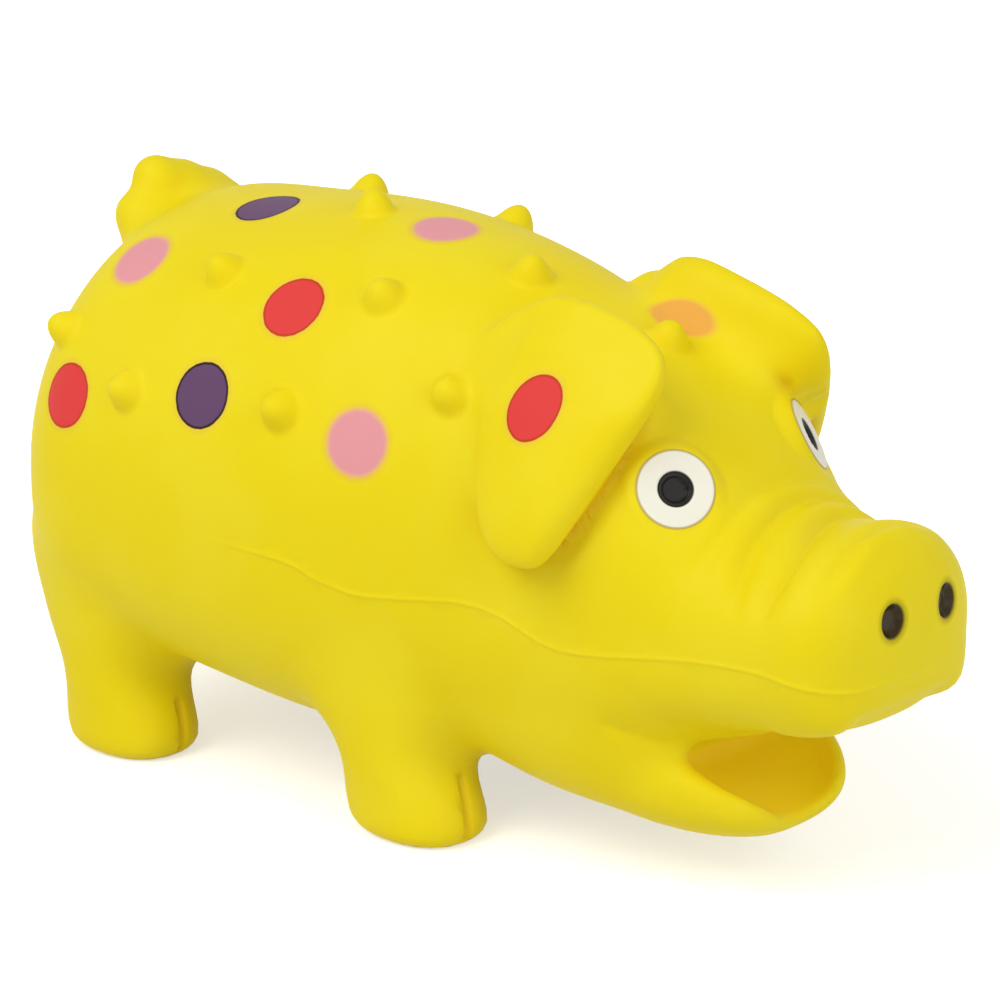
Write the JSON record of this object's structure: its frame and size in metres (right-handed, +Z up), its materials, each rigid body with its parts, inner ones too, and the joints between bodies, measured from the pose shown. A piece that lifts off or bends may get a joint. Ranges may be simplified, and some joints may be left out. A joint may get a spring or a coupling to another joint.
{
  "type": "latex pig dog toy",
  "caption": "Standing pig dog toy moulded in soft latex, with raised nubs and painted dots, stuffed with fibre round a squeeze grunter.",
  "frame": {"origin": "on the ground under the middle of the toy's box", "axes": "+X towards the snout, +Y to the pig's left, +Z up"},
  "size_m": [0.227, 0.1132, 0.1306],
  "materials": {
    "latex": "satin moulded latex with printed dots",
    "filling": "matt loose fibre",
    "grunter_case": "moulded",
    "grunter_block": "moulded",
    "reed": "smooth film",
    "filter": "felt"
  },
  "bodies": {
    "toy": {"latex_skin": "latex", "body_filling": "filling", "head_filling": "filling", "rear_left_leg_filling": "filling", "rear_right_leg_filling": "filling", "front_left_leg_filling": "filling", "front_right_leg_filling": "filling", "grunter_barrel": "grunter_case", "grunter_reed_block": "grunter_block", "grunter_reed_clamp": "grunter_block", "grunter_filter": "filter", "grunter_cap": "grunter_case"},
    "reed": {"grunter_reed": "reed"}
  },
  "joints": [
    {"name": "reed_flutter", "type": "hinge", "parent": "toy", "child": "reed", "pos_m": [-0.0323, 0, 0.0261], "axis": [0, 1, 0], "range_deg": [-4, 4], "stiffness_Nm_per_rad": 0.0002}
  ]
}
